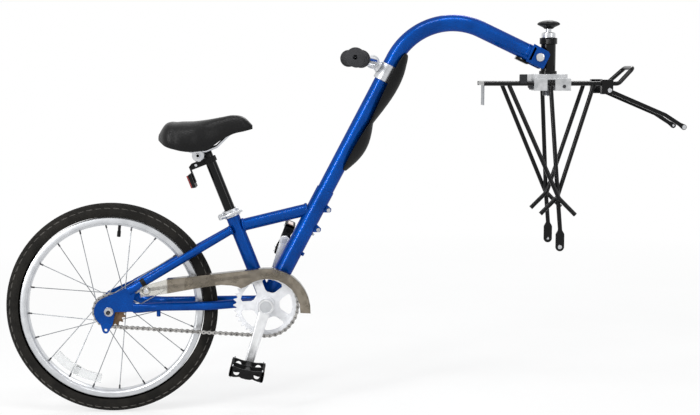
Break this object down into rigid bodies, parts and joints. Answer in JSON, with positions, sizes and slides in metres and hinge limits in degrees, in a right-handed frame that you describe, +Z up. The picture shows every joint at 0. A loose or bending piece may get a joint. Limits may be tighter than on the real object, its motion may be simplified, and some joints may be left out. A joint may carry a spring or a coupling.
{
  "type": "trailer bike",
  "caption": "Single-wheel child's trailer bike with curved boom, pedals, saddle and handlebar, hung by a pivoting hitch post from a rack that bolts over a towing bicycle's rear wheel.",
  "frame": {"origin": "midway between the centres of the two foot bolt holes of the hitch rack", "axes": "+X forward along the line of travel, +Y to the rider's left, +Z up; the drive side faces -Y"},
  "size_m": [1.5731, 0.5048, 0.9231],
  "materials": {
    "blue_enamel": "bright metallic blue gloss enamel on welded steel tube",
    "black_enamel": "gloss black enamel on steel rod and tube",
    "black_plastic": "moulded black plastic",
    "saddle_cover": "black vinyl cover over foam",
    "smoky_plastic": "translucent smoky moulded plastic",
    "red_reflector": "red prismatic lens",
    "tyre_rubber": "dark vulcanised rubber with block tread",
    "bumper_rubber": "moulded dark grey rubber",
    "grip_rubber": "dark grey moulded rubber with ribs",
    "aluminium": "satin cast and extruded aluminium",
    "chrome_steel": "bright plated steel",
    "pale_enamel": "pale grey enamel on pressed steel",
    "brown_steel": "brown oiled steel"
  },
  "bodies": {
    "rack": {"rack_platform": "black_enamel", "rack_rear_bracket": "black_enamel", "rear_leg_near": "black_enamel", "rear_leg_far": "black_enamel", "middle_leg_near": "black_enamel", "middle_leg_far": "black_enamel", "front_leg_near": "black_enamel", "front_leg_far": "black_enamel", "receiver_block": "aluminium", "rack_bumper": "bumper_rubber", "stay_clamp_near": "black_enamel", "stay_clamp_far": "black_enamel"},
    "stay_near": {"stay_near": "black_enamel"},
    "stay_far": {"stay_far": "black_enamel"},
    "hitch_post": {"hitch_stem": "chrome_steel", "expander_wedge": "chrome_steel"},
    "hitch_knob": {"hitch_knob": "black_plastic"},
    "steering": {"steering_sleeve": "black_enamel"},
    "boom": {"boom": "blue_enamel", "clevis": "blue_enamel", "pitch_bolt": "chrome_steel", "splash_guard": "black_plastic"},
    "latch": {"latch_lever": "black_enamel"},
    "bar_clamp": {"bar_clamp": "aluminium"},
    "handlebar": {"handlebar": "chrome_steel", "grip_near": "grip_rubber", "grip_far": "grip_rubber"},
    "frame": {"seat_tube": "blue_enamel", "top_tube": "blue_enamel", "down_tube": "blue_enamel", "bottom_bracket_shell": "blue_enamel", "chainstay_near": "blue_enamel", "chainstay_far": "blue_enamel", "seatstay_near": "blue_enamel", "seatstay_far": "blue_enamel", "dropout_near": "blue_enamel", "dropout_far": "blue_enamel", "wheel_axle": "chrome_steel", "chain_guard": "smoky_plastic", "chain": "brown_steel", "seat_clamp": "aluminium"},
    "seat_lever": {"seat_lever": "aluminium"},
    "seat_post": {"seat_post": "black_enamel", "reflector_bracket": "black_plastic", "rear_reflector": "red_reflector"},
    "saddle": {"saddle_clamp": "chrome_steel", "saddle_rails": "chrome_steel", "saddle": "saddle_cover"},
    "cranks": {"crank_spindle": "chrome_steel", "crank_right": "aluminium", "crank_left": "aluminium", "chainring": "pale_enamel"},
    "pedal_right": {"pedal_right": "black_plastic"},
    "pedal_left": {"pedal_left": "black_plastic"},
    "wheel": {"tyre": "tyre_rubber", "rim": "aluminium", "hub": "aluminium", "spokes_near": "chrome_steel", "spokes_far": "chrome_steel"},
    "sprocket": {"sprocket": "brown_steel"}
  },
  "joints": [
    {"name": "hitch_lift", "type": "slide", "parent": "rack", "child": "hitch_post", "axis": [0, 0, 1], "range_m": [0, 0.12]},
    {"name": "knob_turn", "type": "hinge", "parent": "hitch_post", "child": "hitch_knob", "pos_m": [-0.02, 0, 0.5], "axis": [0, 0, 1], "continuous": true},
    {"name": "hitch_yaw", "type": "hinge", "parent": "hitch_post", "child": "steering", "pos_m": [-0.02, 0, 0.43], "axis": [0, 0, 1], "range_deg": [-80, 80]},
    {"name": "hitch_pitch", "type": "hinge", "parent": "steering", "child": "boom", "pos_m": [-0.043, 0, 0.4315], "axis": [0, 1, 0], "range_deg": [-20, 28]},
    {"name": "latch_swing", "type": "hinge", "parent": "boom", "child": "latch", "pos_m": [-0.0954, 0, 0.4309], "axis": [0, 1, 0], "range_deg": [0, 35]},
    {"name": "bar_slide", "type": "slide", "parent": "boom", "child": "bar_clamp", "axis": [0.4648, 0, 0.8854], "range_m": [-0.06, 0.015]},
    {"name": "bar_tilt", "type": "hinge", "parent": "bar_clamp", "child": "handlebar", "pos_m": [-0.42672, 0, 0.42138], "axis": [0, 1, 0], "range_deg": [-30, 30]},
    {"name": "frame_release", "type": "slide", "parent": "boom", "child": "frame", "axis": [-0.4648, 0, -0.8854], "range_m": [0, 0.15]},
    {"name": "seat_lever_swing", "type": "hinge", "parent": "frame", "child": "seat_lever", "pos_m": [-0.7777, -0.0128, 0.06211], "axis": [0.3616, 0, -0.9323], "range_deg": [0, 140]},
    {"name": "seat_height", "type": "slide", "parent": "frame", "child": "seat_post", "axis": [-0.3616, 0, 0.9323], "range_m": [-0.08, 0.05]},
    {"name": "saddle_tilt", "type": "hinge", "parent": "seat_post", "child": "saddle", "pos_m": [-0.82743, 0, 0.20747], "axis": [0, 1, 0], "range_deg": [-15, 15]},
    {"name": "crank_spin", "type": "hinge", "parent": "frame", "child": "cranks", "pos_m": [-0.6731, 0, -0.1365], "axis": [0, 1, 0], "continuous": true},
    {"name": "pedal_right_spin", "type": "hinge", "parent": "cranks", "child": "pedal_right", "pos_m": [-0.7138, -0.12, -0.27045], "axis": [0, 1, 0], "continuous": true},
    {"name": "pedal_left_spin", "type": "hinge", "parent": "cranks", "child": "pedal_left", "pos_m": [-0.6324, 0.12, -0.00255], "axis": [0, 1, 0], "continuous": true},
    {"name": "wheel_spin", "type": "hinge", "parent": "frame", "child": "wheel", "pos_m": [-1.033, 0, -0.1485], "axis": [0, 1, 0], "continuous": true},
    {"name": "sprocket_spin", "type": "hinge", "parent": "frame", "child": "sprocket", "pos_m": [-1.033, -0.044, -0.1485], "axis": [0, 1, 0], "continuous": true},
    {"name": "stay_near_swing", "type": "hinge", "parent": "rack", "child": "stay_near", "pos_m": [0.11, -0.044, 0.357], "axis": [0, 1, 0], "range_deg": [-25, 60]},
    {"name": "stay_far_swing", "type": "hinge", "parent": "rack", "child": "stay_far", "pos_m": [0.11, 0.044, 0.357], "axis": [0, 1, 0], "range_deg": [-25, 60]}
  ],
  "couplings": [
    {"joint": "sprocket_spin", "follows": "crank_spin", "ratio": 2}
  ]
}
